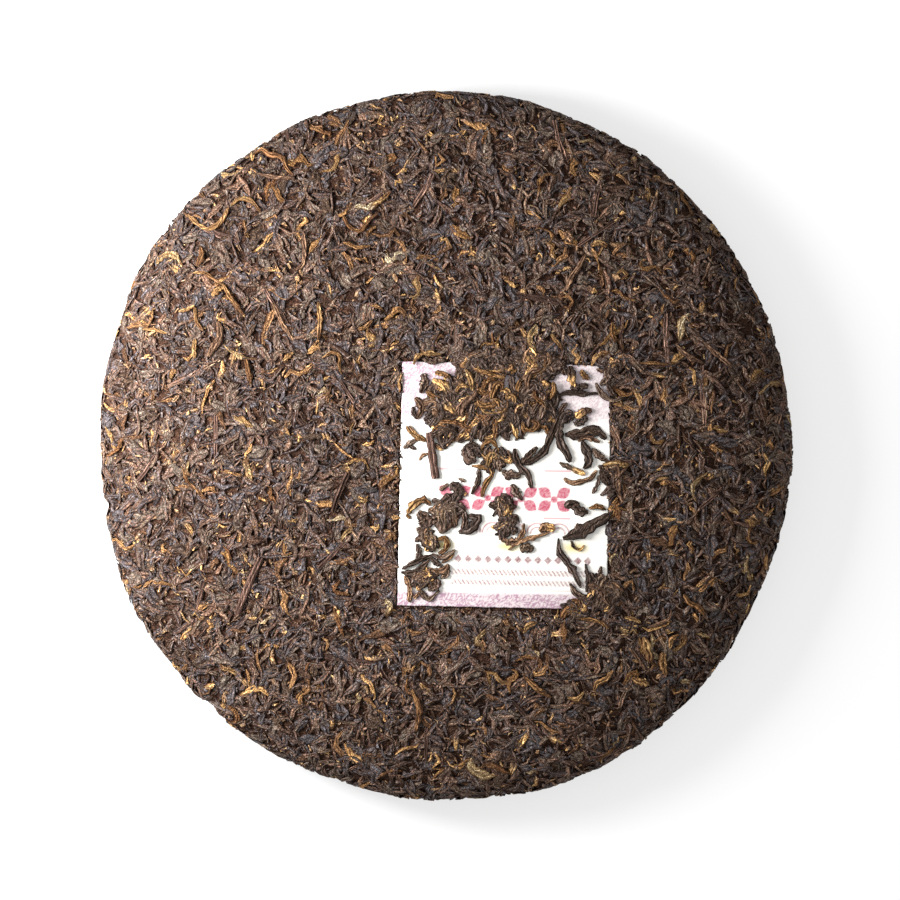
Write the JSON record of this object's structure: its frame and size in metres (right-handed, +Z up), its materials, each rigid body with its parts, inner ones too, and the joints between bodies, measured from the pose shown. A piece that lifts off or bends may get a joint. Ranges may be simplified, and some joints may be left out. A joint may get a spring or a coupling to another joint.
{
  "type": "ripe pu-erh tea cake",
  "caption": "Round pressed cake of dark ripe tea leaves with a domed top, a rounded rim, a flat underside with a nest hollow, and a printed paper ticket set into the top.",
  "frame": {"origin": "centre of the footprint on the surface the cake lies on", "axes": "+Z up through the domed top, +X to the right and +Y away from the viewer as the ticket is read"},
  "size_m": [0.1968, 0.2024, 0.0283],
  "materials": {
    "pressed_tea": "dry pressed leaf, slightly silky",
    "ticket_paper": "thin matt printed paper"
  },
  "bodies": {
    "root": {"tea_cake": "pressed_tea", "paper_ticket": "ticket_paper"}
  },
  "joints": []
}
